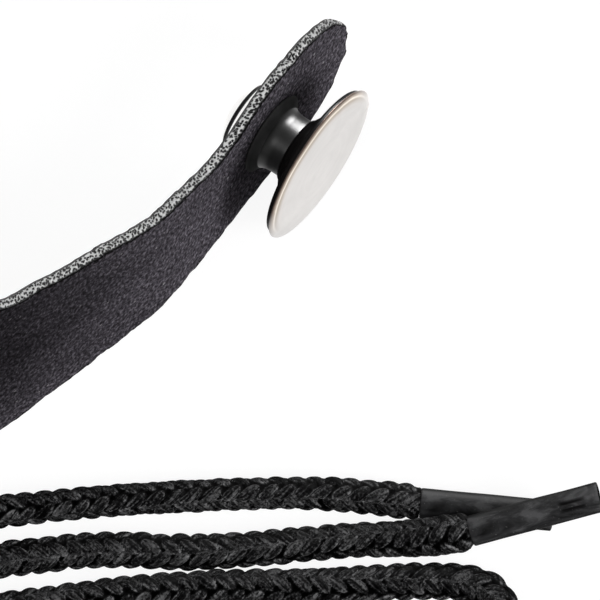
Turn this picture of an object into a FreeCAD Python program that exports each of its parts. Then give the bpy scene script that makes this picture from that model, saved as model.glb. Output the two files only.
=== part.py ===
"""Leather eye patch with button-ended arms and a braided lace, in millimetres.

One strip of leather makes the patch and both arms. It stands on its straight brow edge, curved
as it is round a head, with +Z up and the outside of the patch facing -Y. A tack button sits on
each arm end. The lace is hooked on the left button's neck and both its legs lie on the floor.
"""
import FreeCAD
import Part
import math
import os
from FreeCAD import Rotation, Vector

# Leather strip
leather_thickness = 1.4
patch_height = 62.0
arm_width = 20.5
arm_waist = 18.3            # the arm's least width, between the patch and the button
arm_flare = 10.0            # along the strip, from the waist to where the arm is at full width
flare_clearance = 3.6       # from there to the start of the tip's corners
front_radius = 70.2         # outer face, in plan
front_half_angle = 41.0
temple_run = 15.2
temple_bend_radius = 28.9
arm_end_angle = 54.5
arm_end_run = 32.9
tip_flat = 0.5              # straight stretch between the tip's two corners

# Eye dome pressed into the patch
dome_radius = 25.5
dome_depth = 11.0
dome_blend = 4.0

# Lining behind the dome, and its ring of stitches
lining_thickness = 1.4
lining_gap = 0.1
lining_half_width = 30.5
lining_half_height = 28.5
stitch_inset = 2.2
stitch_length = 2.8
stitch_count = 42
thread_diameter = 0.7
thread_gap = 0.03

# Tack button: everything is turned about the button's own axis
button_from_tip = 15.3
face_diameter = 19.8
face_height = 7.4           # from the leather to the middle of the face
face_crown = 0.1
face_edge_width = 2.0       # the face falls away in an arc near its edge, by the drop
face_edge_drop = 0.35
face_wall = 0.1             # upright part of the face's edge, below the arc
shell_inset = 0.4           # the back shell's rim, in from the face's edge
shell_sheet = 0.5
shell_start = 3.8           # from the leather to where the back shell meets the neck
neck_diameter = 7.4
neck_foot_diameter = 10.2
neck_foot_height = 0.5
neck_waist_height = 1.9
neck_clearance = 0.07
head_clearance = 0.1
flange_diameter = 9.2
flange_height = 0.5
flange_lift = 0.6           # over the back shell's inside, where the shell rises to meet it
tack_diameter = 2.2
tack_clearance = 0.05
tack_point = 0.6
back_cap_diameter = 12.0
back_cap_height = 3.9
back_cap_sheet = 0.4
part_gap = 0.05             # between sheet parts that are pressed on one another

# Lace
lace_diameter = 4.0
aglet_diameter = 3.5
aglet_length = 15.0
aglet_chamfer = 0.3

# The lace's two legs from the neck of the left button to their aglets, chosen by hand. The
# short leg runs behind the long one, which folds on the right and loops back on the left.
short_leg_points = [
    (-74.2, 20.9, 17.2), (-70.5, 15.5, 17.2), (-65.2, 5.7, 13.2), (-57.2, -4.6, 6.2),
    (-47.7, -11.9, 2.1), (-34.8, -19.7, 2.0), (-21.8, -24.0, 2.0), (-8.5, -27.1, 2.0),
    (5.5, -28.0, 2.0), (18.5, -26.3, 2.0), (31.0, -23.4, 2.0), (43.0, -21.2, 2.0),
    (54.5, -20.1, 2.0), (66.0, -19.4, 2.0), (76.5, -19.1, 2.0), (84.0, -19.7, 2.0),
    (89.3, -20.4, 2.0)]
short_aglet_direction = (14.9, -1.4, -0.25)
long_leg_points = [
    (-74.2, 20.9, 17.2), (-75.8, 23.2, 17.2), (-78.3, 26.7, 13.1), (-78.3, 26.7, 7.4),
    (-75.8, 23.2, 3.4), (-71.7, 17.0, 3.0), (-68.3, 7.6, 2.4), (-62.8, -6.7, 2.0),
    (-57.5, -16.7, 2.0), (-53.5, -30.7, 2.0), (-47.5, -43.7, 2.0), (-38.5, -54.7, 2.0),
    (-26.0, -61.5, 2.0), (-12.0, -61.6, 2.0), (2.0, -58.0, 2.0), (15.0, -52.3, 2.0),
    (28.5, -47.2, 2.0), (42.0, -42.9, 2.0), (55.0, -40.3, 2.0), (68.0, -39.3, 2.0),
    (79.5, -39.2, 2.0), (89.5, -38.4, 2.0), (95.8, -38.7, 2.0), (98.4, -36.1, 2.0),
    (98.4, -32.5, 2.0), (95.8, -30.0, 2.0), (89.5, -29.7, 2.0), (77.5, -30.3, 2.0),
    (66.0, -30.5, 2.0), (56.0, -31.2, 2.0), (45.5, -32.9, 2.0), (34.0, -33.9, 2.0),
    (22.0, -37.7, 2.0), (10.0, -43.7, 2.0), (-1.0, -50.4, 2.0), (-10.0, -54.7, 2.0),
    (-19.5, -56.8, 2.0), (-29.0, -55.7, 2.0), (-36.0, -50.3, 2.0), (-38.8, -41.9, 2.0),
    (-36.0, -33.5, 2.0), (-28.7, -28.3, 2.0), (-19.0, -28.6, 2.0), (-8.0, -31.7, 2.0),
    (2.5, -33.8, 2.0), (13.0, -33.1, 2.0), (22.0, -30.7, 2.0), (32.0, -28.6, 2.0),
    (43.0, -27.1, 2.0), (54.0, -25.8, 2.0), (63.0, -26.5, 2.0), (73.0, -25.7, 2.0),
    (82.0, -24.7, 2.0), (89.0, -24.8, 2.3), (94.9, -24.4, 3.6)]
long_aglet_direction = (14.4, 2.6, 3.9)

# Sizes that follow from the ones above
front_length = front_radius * math.radians(front_half_angle)
temple_length = front_length + temple_run
bend_angle = arm_end_angle - front_half_angle
bend_length = temple_length + temple_bend_radius * math.radians(bend_angle)
tip_length = bend_length + arm_end_run
tip_corner_radius = (arm_width - tip_flat) / 2
shoulder_length = tip_length - tip_corner_radius - flare_clearance - arm_flare
button_station = tip_length - button_from_tip
middle_height = patch_height / 2
button_height = arm_width / 2
neck_radius = neck_diameter / 2
shell_hole_radius = neck_radius + neck_clearance
flange_radius = flange_diameter / 2
face_radius = face_diameter / 2
rim_top = face_height - face_crown
face_sheet = face_edge_drop + face_wall
shell_rise = rim_top - face_sheet - part_gap - shell_sheet - shell_start
flange_start = shell_start + shell_sheet + flange_lift
sweep = 200.0               # longer than the part, for cutting prisms


def heading(station):
    """Plan angle of the strip, in degrees from +X, at a distance along its right half."""
    if station <= front_length:
        return math.degrees(station / front_radius)
    if station <= temple_length:
        return front_half_angle
    turned = math.degrees((station - temple_length) / temple_bend_radius)
    return min(front_half_angle + turned, arm_end_angle)


def along(angle):
    """Unit vector along the strip at a plan angle."""
    return Vector(math.cos(math.radians(angle)), math.sin(math.radians(angle)), 0)


def outward(angle):
    """Unit vector out of the strip's outer face at a plan angle."""
    return Vector(math.sin(math.radians(angle)), -math.cos(math.radians(angle)), 0)


def plan_point(station, out=0.0):
    """Point of the strip's plan, out from the outer face; a negative station is on the left."""
    side = -1 if station < 0 else 1
    station = abs(station)
    middle = Vector(0, front_radius, 0)
    point = middle + outward(heading(min(station, front_length))) * front_radius
    if station > front_length:
        point += along(front_half_angle) * (min(station, temple_length) - front_length)
    if station > temple_length:
        bend_middle = point - outward(front_half_angle) * temple_bend_radius
        point = bend_middle + outward(heading(station)) * temple_bend_radius
    if station > bend_length:
        point += along(arm_end_angle) * (station - bend_length)
    point += outward(heading(station)) * out
    return Vector(side * point.x, point.y, 0)


# The origin is under the middle of the leather's box.
tip_back = plan_point(tip_length, -leather_thickness).y
origin_shift = Vector(0, (dome_depth - tip_back) / 2, 0)


def plan_edges(out):
    """Edges of the strip's plan from the left tip to the right one."""
    half = [front_length, temple_length, bend_length, tip_length]
    stations = [-s for s in reversed(half)] + half
    edges = []
    for index, (start, end) in enumerate(zip(stations, stations[1:])):
        ends = plan_point(start, out), plan_point(end, out)
        if index % 2:
            edges.append(Part.Arc(ends[0], plan_point((start + end) / 2, out), ends[1]).toShape())
        else:
            edges.append(Part.LineSegment(*ends).toShape())
    return edges


def curved_wall(depth, thickness):
    """The strip's wall at full height, starting at a depth behind its outer face."""
    front, back = -depth, -depth - thickness
    ends = [Part.LineSegment(plan_point(side * tip_length, front),
                             plan_point(side * tip_length, back)).toShape() for side in (1, -1)]
    edges = plan_edges(front) + [ends[0]] + plan_edges(back)[::-1] + [ends[1]]
    face = Part.Face(Part.Wire(Part.__sortEdges__(edges)))
    return face.extrude(Vector(0, 0, patch_height))


def top_height(station):
    """Height of the strip's top edge at a distance from its middle."""
    if station >= shoulder_length:
        won = min((station - shoulder_length) / arm_flare, 1)
        return arm_waist + (arm_width - arm_waist) * won * won * (3 - 2 * won)
    # How much of the patch's extra height is left at even steps along the shoulder
    left = [1, 0.973, 0.893, 0.748, 0.545, 0.364, 0.249, 0.169, 0.103, 0.041, 0]
    slope = [0] + [(b - a) / 2 for a, b in zip(left, left[2:])] + [0]
    step, t = divmod(station / shoulder_length * (len(left) - 1), 1)
    k = int(step)
    share = ((2 * t ** 3 - 3 * t ** 2 + 1) * left[k] + (t ** 3 - 2 * t ** 2 + t) * slope[k]
             + (3 * t ** 2 - 2 * t ** 3) * left[k + 1] + (t ** 3 - t ** 2) * slope[k + 1])
    return arm_waist + (patch_height - arm_waist) * share


def strip_outline():
    """Prism along Y of the strip's outline: straight brow edge, round patch, waisted arms."""
    end = shoulder_length + arm_flare
    steps = 30
    half = [(plan_point(end * k / steps).x, top_height(end * k / steps))
            for k in range(steps + 1)]
    points = [Vector(-x, -sweep, z) for x, z in reversed(half[1:])]
    points += [Vector(x, -sweep, z) for x, z in half]
    top = Part.BSplineCurve()
    top.interpolate(points)
    corners = [points[-1], Vector(sweep, -sweep, arm_width), Vector(sweep, -sweep, 0),
               Vector(-sweep, -sweep, 0), Vector(-sweep, -sweep, arm_width), points[0]]
    edges = [top.toShape()]
    edges += [Part.LineSegment(a, b).toShape() for a, b in zip(corners, corners[1:])]
    return Part.Face(Part.Wire(edges)).extrude(Vector(0, 2 * sweep, 0))


def dome_middle():
    return Vector(0, dome_radius - dome_depth, middle_height)


def front_fill(depth):
    """Everything behind the patch's front wall at a depth, as a cylinder."""
    return Part.makeCylinder(front_radius - depth, patch_height, Vector(0, front_radius, 0))


def blend_edge(shape, depth):
    """The closed edge where the dome meets the wall at a depth."""
    found = []
    for edge in shape.Edges:
        spots = [edge.valueAt(edge.FirstParameter + share * (edge.LastParameter - edge.FirstParameter))
                 for share in (0.1, 0.4, 0.7)]
        on_dome = all(abs((p - dome_middle()).Length - dome_radius + depth) < 1e-3 for p in spots)
        axis_distance = [math.hypot(p.x, p.y - front_radius) for p in spots]
        if on_dome and all(abs(r - front_radius + depth) < 1e-3 for r in axis_distance):
            found.append(edge)
    return found


def domed_skin(depth, thickness):
    """The wall with the dome pressed out of it, between two depths behind the outer face."""
    outer = Part.makeSphere(dome_radius - depth, dome_middle())
    inner = Part.makeSphere(dome_radius - depth - thickness, dome_middle())
    cap = outer.cut(front_fill(depth + thickness)).cut(inner)
    skin = curved_wall(depth, thickness).cut(inner).fuse(cap).removeSplitter()
    skin = skin.makeFillet(dome_blend + depth, blend_edge(skin, depth))
    back = depth + thickness
    return skin.makeFillet(dome_blend + back, blend_edge(skin, back))


def on_button(shape, right=True):
    """Put a piece turned about Z on an arm: Z = 0 on the leather, +Z out of the outer face."""
    angle = arm_end_angle
    base = plan_point(button_station) + Vector(0, 0, button_height) + origin_shift
    turn = Rotation(along(angle), Vector(0, 0, 1), outward(angle), "ZXY")
    placed = shape.copy()
    placed.Placement = FreeCAD.Placement(base, turn)
    return placed if right else placed.mirror(Vector(0, 0, 0), Vector(1, 0, 0))


def leather_strip():
    strip = domed_skin(0, leather_thickness).common(strip_outline())
    corners = []
    for edge in strip.Edges:
        at_tip = all(abs(abs(v.X) - abs(plan_point(tip_length, -leather_thickness / 2).x))
                     < leather_thickness for v in edge.Vertexes)
        level = abs(edge.Vertexes[0].Z - edge.Vertexes[-1].Z) < 1e-6
        if at_tip and level:
            corners.append(edge)
    strip = strip.makeFillet(tip_corner_radius, corners)
    strip.translate(origin_shift)
    hole = Part.makeCylinder(tack_diameter / 2 + tack_clearance, 3 * leather_thickness,
                             Vector(0, 0, -2 * leather_thickness))
    for right in (True, False):
        strip = strip.cut(on_button(hole, right))
    return strip


def ellipse_prism(half_width, half_height):
    """Prism along Y of an ellipse about the middle of the patch."""
    ellipse = Part.Ellipse(Vector(0, 0, 0), max(half_width, half_height),
                           min(half_width, half_height))
    face = Part.Face(Part.Wire(ellipse.toShape()))
    if half_height > half_width:
        face.rotate(Vector(0, 0, 0), Vector(0, 0, 1), 90)
    face.rotate(Vector(0, 0, 0), Vector(1, 0, 0), 90)
    face.translate(Vector(0, sweep, middle_height))
    return face.extrude(Vector(0, -2 * sweep, 0))


def eye_lining():
    skin = domed_skin(leather_thickness + lining_gap, lining_thickness)
    lining = skin.common(ellipse_prism(lining_half_width, lining_half_height))
    lining.translate(origin_shift)
    return lining


def lining_stitches():
    """A ring of stitches on the leather's face, and the same ring behind on the lining."""
    thread_radius = thread_diameter / 2
    half_width = lining_half_width - stitch_inset
    half_height = lining_half_height - stitch_inset
    lining_back = leather_thickness + lining_gap + lining_thickness
    stitches = []
    for index in range(stitch_count):
        turn = 2 * math.pi * index / stitch_count
        station, rise = half_width * math.cos(turn), half_height * math.sin(turn)
        step = Vector(-half_width * math.sin(turn), half_height * math.cos(turn), 0).normalize()
        angle = math.degrees(station / front_radius)
        direction = along(angle) * step.x + Vector(0, 0, step.y)
        for out in (thread_radius + thread_gap, -lining_back - thread_radius - thread_gap):
            radius = front_radius + out
            middle = Vector(0, front_radius, middle_height + rise) + outward(angle) * radius
            start = middle + origin_shift - direction * (stitch_length / 2)
            stitches.append(Part.makeCylinder(thread_radius, stitch_length, start, direction))
    return Part.makeCompound(stitches)


def turned(*path):
    """Solid of revolution about Z; each item is a point (r, z) or an arc [(r, z), (r, z)]."""
    point = lambda rz: Vector(rz[0], 0, rz[1])
    start = path[0]
    edges, here = [], start
    for item in path[1:] + (start,):
        if isinstance(item, list):
            edges.append(Part.Arc(point(here), point(item[0]), point(item[1])).toShape())
            here = item[1]
        elif math.dist(here, item) > 1e-6:
            edges.append(Part.LineSegment(point(here), point(item)).toShape())
            here = item
    face = Part.Face(Part.Wire(edges))
    return face.revolve(Vector(0, 0, 0), Vector(0, 0, 1), 360)


def shell_profile(lift):
    """Back shell's trumpet from the neck to the rim, lifted off its outer face."""
    spread = face_radius - shell_inset - shell_hole_radius
    shape = [(0, 0), (0.16, 0.24), (0.39, 0.57), (0.74, 0.88), (1, 1)]
    return [(shell_hole_radius + spread * r, shell_start + shell_rise * z + lift)
            for r, z in shape]


def neck():
    """Spool on the leather, with the flange inside the head that holds the head on."""
    foot = neck_foot_diameter / 2
    bore = tack_diameter / 2 + tack_clearance
    flange_top = flange_start + flange_height
    waist_middle = (neck_radius + 0.35 * (foot - neck_radius),
                    neck_foot_height + 0.35 * (neck_waist_height - neck_foot_height))
    roof = flange_top - head_clearance
    return turned((bore, 0), (foot, 0), (foot, neck_foot_height),
                  [waist_middle, (neck_radius, neck_waist_height)],
                  (neck_radius, flange_start), (flange_radius, flange_start),
                  (flange_radius, flange_top), (0, flange_top), (0, roof), (bore, roof))


def back_shell():
    outer, inner = shell_profile(0), shell_profile(shell_sheet)
    path = outer + inner[::-1]
    return turned(*path)


def head_filler():
    """Disc between the back shell and the face, over the hollow the neck's flange turns in."""
    pocket = flange_radius + head_clearance
    pocket_top = flange_start + flange_height + head_clearance
    top = rim_top - face_sheet - part_gap
    under = [p for p in shell_profile(shell_sheet + part_gap) if p[0] > pocket][:-1]
    return turned((0, pocket_top), (pocket, pocket_top), (pocket, under[0][1]), *under,
                  (under[-1][0], top), (0, top))


def face_cap():
    """Nickel face that falls away in an arc near its edge, lying on the back shell's rim."""
    under = rim_top - face_sheet
    flat = face_radius - face_edge_width
    arc = (face_edge_width ** 2 + face_edge_drop ** 2) / (2 * face_edge_drop)
    half = face_edge_width / 2
    fall = arc - math.sqrt(arc ** 2 - half ** 2)
    return turned((0, under), (face_radius, under), (face_radius, rim_top - face_edge_drop),
                  [(flat + half, rim_top - fall), (flat, rim_top)],
                  crown(flat, rim_top, face_height))


def crown(radius, rim, top):
    """Arc of a spherical cap from its rim up to its middle, or down where the top is lower."""
    height = top - rim
    sphere = (radius ** 2 + height ** 2) / (2 * height)
    middle = math.copysign(math.sqrt(sphere ** 2 - radius ** 2 / 4), height)
    return [(radius / 2, top - sphere + middle), (0, top)]


def tack():
    """Nail with a low domed head behind the leather and a shaft up into the neck."""
    base = -leather_thickness
    head = back_cap_diameter / 2 - back_cap_sheet - part_gap
    head_top = base - back_cap_height + back_cap_sheet + part_gap
    shaft = tack_diameter / 2
    end = flange_start + flange_height - 2 * head_clearance
    return turned((0, end), (shaft / 2, end), (shaft, end - tack_point), (shaft, base),
                  (head, base), crown(head, base, head_top))


def back_cap():
    """Thin nickel cap crimped over the tack's head."""
    base = -leather_thickness
    outer = back_cap_diameter / 2
    inner = outer - back_cap_sheet
    outside = crown(outer, base, base - back_cap_height)
    inside = crown(inner, base, base - back_cap_height + back_cap_sheet)
    return turned((inner, base), (outer, base), outside, inside[1], [inside[0], (inner, base)])


def lace_tube(points):
    """Tube along straight runs joined by arcs, with the least arc radius and the length."""
    points = [Vector(*p) for p in points]
    edges, here, least = [], points[0], None
    for before, corner, after in zip(points, points[1:], points[2:]):
        back, ahead = before - corner, after - corner
        run = 0.45 * min(back.Length, ahead.Length)
        half_turn = (math.pi - back.getAngle(ahead)) / 2
        radius = run / math.tan(half_turn)
        least = radius if least is None else min(least, radius)
        start = corner + back.normalize() * run
        end = corner + ahead.normalize() * run
        toward = ((start + end) / 2 - corner).normalize()
        middle = corner + toward * (radius / math.cos(half_turn) - radius)
        edges.append(Part.LineSegment(here, start).toShape())
        edges.append(Part.Arc(start, middle, end).toShape())
        here = end
    edges.append(Part.LineSegment(here, points[-1]).toShape())
    path = Part.Wire(edges)
    ring = Part.makeCircle(lace_diameter / 2, points[0], points[1] - points[0])
    tube = path.makePipeShell([Part.Wire(ring)], True, False)
    expected = math.pi * lace_diameter ** 2 / 4 * path.Length
    print("lace leg: length %.1f mm, least radius %.1f mm, volume %.4f of section x length"
          % (path.Length, least, tube.Volume / expected))
    return tube


def aglet(start, direction):
    body = Part.makeCylinder(aglet_diameter / 2, aglet_length)
    body = body.makeChamfer(aglet_chamfer, [e for e in body.Edges if e.BoundBox.ZMin > 1])
    turn = Rotation(Vector(0, 0, 1), Vector(*direction))
    body.Placement = FreeCAD.Placement(Vector(*start), turn)
    return body


def build():
    nodes = {
        "leather_patch": leather_strip(),
        "eye_lining": eye_lining(),
        "lining_stitches": lining_stitches(),
        "short_lace_leg": lace_tube(short_leg_points),
        "long_lace_leg": lace_tube(long_leg_points),
        "short_leg_aglet": aglet(short_leg_points[-1], short_aglet_direction),
        "long_leg_aglet": aglet(long_leg_points[-1], long_aglet_direction),
    }
    turned_pieces = {"neck": neck(), "back_shell": back_shell(), "head_filler": head_filler(),
                     "face_cap": face_cap(), "tack": tack(), "back_cap": back_cap()}
    for side, right in (("right", True), ("left", False)):
        for name, shape in turned_pieces.items():
            nodes[side + "_" + name] = on_button(shape, right)
    os.makedirs("parts", exist_ok=True)
    for name, shape in nodes.items():
        print(name, len(shape.Solids), shape.isValid(), round(shape.Volume, 2))
        shape.exportStep("parts/%s.step" % name)


build()
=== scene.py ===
"""Dressed scene of the leather eye patch: suede strap, tack buttons and braided lace.

Shapes are worked out in millimetres, in the CAD's own frame, and scaled to metres as each mesh
is made. A button's pieces are turned about its own axis, with 0 on the leather.
"""
import bpy
import math
import numpy as np
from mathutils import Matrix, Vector


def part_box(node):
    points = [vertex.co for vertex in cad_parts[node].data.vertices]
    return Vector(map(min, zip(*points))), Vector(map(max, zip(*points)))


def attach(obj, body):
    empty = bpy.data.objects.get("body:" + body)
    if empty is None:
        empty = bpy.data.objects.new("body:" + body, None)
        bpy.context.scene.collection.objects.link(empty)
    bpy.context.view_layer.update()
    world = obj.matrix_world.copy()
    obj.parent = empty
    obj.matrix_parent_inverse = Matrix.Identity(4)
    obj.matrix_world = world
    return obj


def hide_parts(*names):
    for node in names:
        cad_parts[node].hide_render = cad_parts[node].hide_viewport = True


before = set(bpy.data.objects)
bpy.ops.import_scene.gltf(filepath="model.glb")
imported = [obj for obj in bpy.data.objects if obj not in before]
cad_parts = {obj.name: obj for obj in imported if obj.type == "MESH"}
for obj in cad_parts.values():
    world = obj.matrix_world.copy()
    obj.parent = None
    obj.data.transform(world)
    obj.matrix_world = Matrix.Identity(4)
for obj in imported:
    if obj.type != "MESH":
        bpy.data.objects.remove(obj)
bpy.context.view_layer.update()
MM = 0.001
scene = bpy.context.scene
scene.view_settings.view_transform = "Standard"


# ---- camera
def aimed(name, data, position, direction):
    """A camera or a lamp that looks along a direction."""
    made = bpy.data.objects.new(name, data)
    scene.collection.objects.link(made)
    made.location = position
    made.rotation_mode = "QUATERNION"
    made.rotation_quaternion = direction.to_track_quat("-Z", "Y")
    return made


camera_target = Vector((75.74, 5.71, 0)) * MM
camera_distance = 520 * MM
camera_elevation = math.radians(65.5)
camera_back = Vector((0, -math.cos(camera_elevation), math.sin(camera_elevation)))
camera = aimed("camera", bpy.data.cameras.new("camera"),
               camera_target + camera_back * camera_distance, -camera_back)
camera.data.sensor_width = 36
camera.data.lens = 269.9
camera.data.clip_start, camera.data.clip_end = 0.01, 20
scene.camera = camera


# ---- noise and meshes
def lattice(cell, seed):
    """A repeatable number from 0 to 1 for each whole-number cell."""
    mixed = cell[..., 0] * 374761393 + cell[..., 1] * 668265263 + cell[..., 2] * 2147483647
    mixed = (mixed + seed * 1274126177) & 0xFFFFFFFF
    mixed = ((mixed ^ (mixed >> 13)) * 1103515245) & 0xFFFFFFFF
    mixed = ((mixed ^ (mixed >> 16)) * 668265263) & 0xFFFFFFFF
    return ((mixed ^ (mixed >> 15)) & 0xFFFFFF) / 0xFFFFFF


def noise(points, size, seed):
    """Smooth noise from -1 to 1 at points of one, two or three numbers (..., 1 to 3)."""
    points = np.asarray(points, float)
    missing = 3 - points.shape[-1]
    points = np.concatenate([points, np.zeros(points.shape[:-1] + (missing,))], -1) / size
    cell = np.floor(points).astype(np.int64)
    part = points - cell
    part = part * part * (3 - 2 * part)
    total = 0
    for corner in np.ndindex(2, 2, 2):
        weight = np.prod(np.where(corner, part, 1 - part), -1)
        total = total + weight * lattice(cell + np.array(corner), seed)
    return total * 2 - 1


def circle(count):
    return np.linspace(0, 2 * math.pi, count, endpoint=False)


def unit(vectors):
    return vectors / np.linalg.norm(vectors, axis=-1, keepdims=True)


def paired(first, second):
    """Two numbers of any shapes as places (..., 2)."""
    return np.stack(np.broadcast_arrays(first, second), -1)


def spokes(first, second, angle):
    """Unit vectors at each angle from the first of two normals towards the second."""
    return (first[..., None, :] * np.cos(angle)[:, None]
            + second[..., None, :] * np.sin(angle)[:, None])


def run_along(points):
    """Distance along a line to each of its points."""
    return np.concatenate([[0], np.cumsum(np.linalg.norm(np.diff(points, axis=0), axis=1))])


def smooth_step(x):
    x = np.clip(x, 0, 1)
    return x * x * (3 - 2 * x)


def hermite(t, start, end, slope_start, slope_end):
    """Cubic from start to end as t goes from 0 to 1."""
    return ((2 * t ** 3 - 3 * t ** 2 + 1) * start + (t ** 3 - 2 * t ** 2 + t) * slope_start
            + (3 * t ** 2 - 2 * t ** 3) * end + (t ** 3 - t ** 2) * slope_end)


def grid_faces(grid):
    """Quads between neighbours in a grid of vertex numbers."""
    return np.stack([grid[:-1, :-1], grid[:-1, 1:], grid[1:, 1:], grid[1:, :-1]],
                    -1).reshape(-1, 4)


def ring_faces(rings, around, start=0):
    """Quads between rings of vertices, each ring closed on itself."""
    grid = start + np.arange(rings * around).reshape(rings, around)
    return grid_faces(np.concatenate([grid, grid[:, :1]], 1))


def tube_faces(rings, around, start=0):
    """Faces of a closed tube: its side, then a fan at each end to one vertex more."""
    faces = ring_faces(rings, around, start)[:, ::-1].tolist()
    pole, last = start + rings * around, start + (rings - 1) * around
    for k in range(around):
        after = (k + 1) % around
        faces.append([pole, start + k, start + after])
        faces.append([pole + 1, last + after, last + k])
    return faces


def piece(name, node, points, faces, materials, body, uv, material_index=0):
    """A smooth mesh object from points and places in mm, riding a body for a CAD node."""
    mesh = bpy.data.meshes.new(name)
    mesh.from_pydata((points * MM).tolist(), [], [list(f) for f in faces])
    for material in materials:
        mesh.materials.append(material)
    mesh.polygons.foreach_set("use_smooth", [True] * len(mesh.polygons))
    mesh.polygons.foreach_set("material_index",
                              list(np.broadcast_to(material_index, len(faces))))
    corners = np.zeros(len(mesh.loops), np.int64)
    mesh.loops.foreach_get("vertex_index", corners)
    layer = mesh.uv_layers.new(name="place")
    layer.data.foreach_set("uv", uv[corners].ravel() / 100)
    mesh.update()
    made = bpy.data.objects.new(name, mesh)
    scene.collection.objects.link(made)
    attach(made, body)
    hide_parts(node)
    return made


def with_ends(rows):
    """Rows with the first and the last once more, for the poles of a tube."""
    return np.concatenate([rows, rows[:1], rows[-1:]])


def mark(made, name, values):
    """A number on each vertex, which a material reads by name."""
    made.data.attributes.new(name, "FLOAT", "POINT").data.foreach_set("value", values)


# ---- materials
class Finish:
    """One procedural material or, for the studio, the world."""

    def __init__(self, name, kind=bpy.data.materials, output="OutputMaterial"):
        self.owner = kind.new(name)
        self.owner.use_nodes = True
        self.tree = self.owner.node_tree
        self.tree.nodes.clear()
        self.output = self.node(output)

    def node(self, kind, inputs=None, **settings):
        made = self.tree.nodes.new("ShaderNode" + kind)
        for key, value in settings.items():
            setattr(made, key, value)
        for key, value in (inputs or {}).items():
            socket = made.inputs[key]
            if isinstance(value, bpy.types.NodeSocket):
                self.tree.links.new(value, socket)
            else:
                socket.default_value = (*value, 1) if socket.type == "RGBA" else value
        return made

    def place(self, along=100, across=100, turn=0):
        """The piece's own UV, in mm unless stretched."""
        source = self.node("UVMap", uv_map="place").outputs[0]
        return self.node("Mapping", {"Vector": source, "Scale": (along, across, 1),
                                     "Rotation": (0, 0, math.radians(turn))}).outputs[0]

    def solid(self):
        """The point in the piece's own space, in cm."""
        source = self.node("TexCoord").outputs["Object"]
        return self.node("Mapping", {"Vector": source, "Scale": (100, 100, 100)}).outputs[0]

    def attribute(self, name):
        return self.node("Attribute", attribute_name=name).outputs["Fac"]

    def noise(self, vector, scale, detail=2, rough=0.5, twist=0):
        return self.node("TexNoise", {"Vector": vector, "Scale": scale, "Detail": detail,
                                      "Roughness": rough, "Distortion": twist}).outputs["Fac"]

    def ramp(self, value, *stops):
        made = self.node("ValToRGB", {"Fac": value})
        band = made.color_ramp
        while len(band.elements) < len(stops):
            band.elements.new(0.5)
        for element, (position, colour) in zip(band.elements, stops):
            element.position = position
            shade = colour if hasattr(colour, "__len__") else (colour,) * 3
            element.color = (*shade, 1)
        return made.outputs["Color"]

    def math(self, operation, a, b):
        return self.node("Math", {0: a, 1: b}, operation=operation).outputs[0]

    def scaled(self, value, scale, offset):
        return self.math("ADD", self.math("MULTIPLY", value, scale), offset)

    def blend(self, a, a_share, b, b_share):
        return self.scaled(a, a_share, self.math("MULTIPLY", b, b_share))

    def mix(self, factor, a, b, blend="MIX"):
        return self.node("Mix", {0: factor, 6: a, 7: b}, data_type="RGBA",
                         blend_type=blend).outputs[2]

    def times(self, a, b):
        return self.mix(1.0, a, b, "MULTIPLY")

    def surface(self, colour, rough, specular, bumps, depth, strength, **more):
        """A Principled shader whose bumps are at most the depth in mm."""
        inputs = {"Base Color": colour, "Roughness": rough, "Specular IOR Level": specular,
                  "Normal": self.node("Bump", {"Height": bumps, "Distance": depth * MM,
                                               "Strength": strength}).outputs[0]}
        inputs.update({key.replace("_", " "): value for key, value in more.items()})
        return self.shown(self.node("BsdfPrincipled", inputs))

    def shown(self, shader):
        self.tree.links.new(shader.outputs[0], self.output.inputs[0])
        return self.owner


def suede():
    f = Finish("suede")
    place = f.place()
    fibres = f.noise(f.place(110, 75, turn=20), 1.9, 3, 0.6, 0.3)
    nap = f.noise(f.place(100, 80), 2.5, 2, 0.6)
    clouds = f.noise(place, 0.16, 3, 0.5)
    lint = f.noise(place, 1.6, 0, 0.5)
    mixed = f.blend(fibres, 0.55, nap, 0.45)
    colour = f.ramp(mixed, (0.39, (0.018, 0.016, 0.019)), (0.46, (0.044, 0.040, 0.047)),
                    (0.53, (0.080, 0.073, 0.086)), (0.63, (0.200, 0.184, 0.212)))
    colour = f.times(colour, f.ramp(clouds, (0.3, 0.84), (0.7, 1.16)))
    colour = f.mix(f.ramp(lint, (0.79, 0), (0.83, 0.7)), colour, (0.40, 0.38, 0.40))
    # Painted shade and painted shadow, carried on the leather's mesh, darken the suede
    colour = f.times(colour, f.attribute("painted_shade"))
    ragged = f.math("ADD", f.attribute("rim"), f.math("MULTIPLY", nap, 1.2))
    colour = f.mix(f.ramp(ragged, (0.80, 1.0), (0.98, 0.0)), colour, (0.002, 0.002, 0.002))
    return f.surface(colour, 0.95, 0.01, mixed, 0.30, 0.8)


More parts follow.
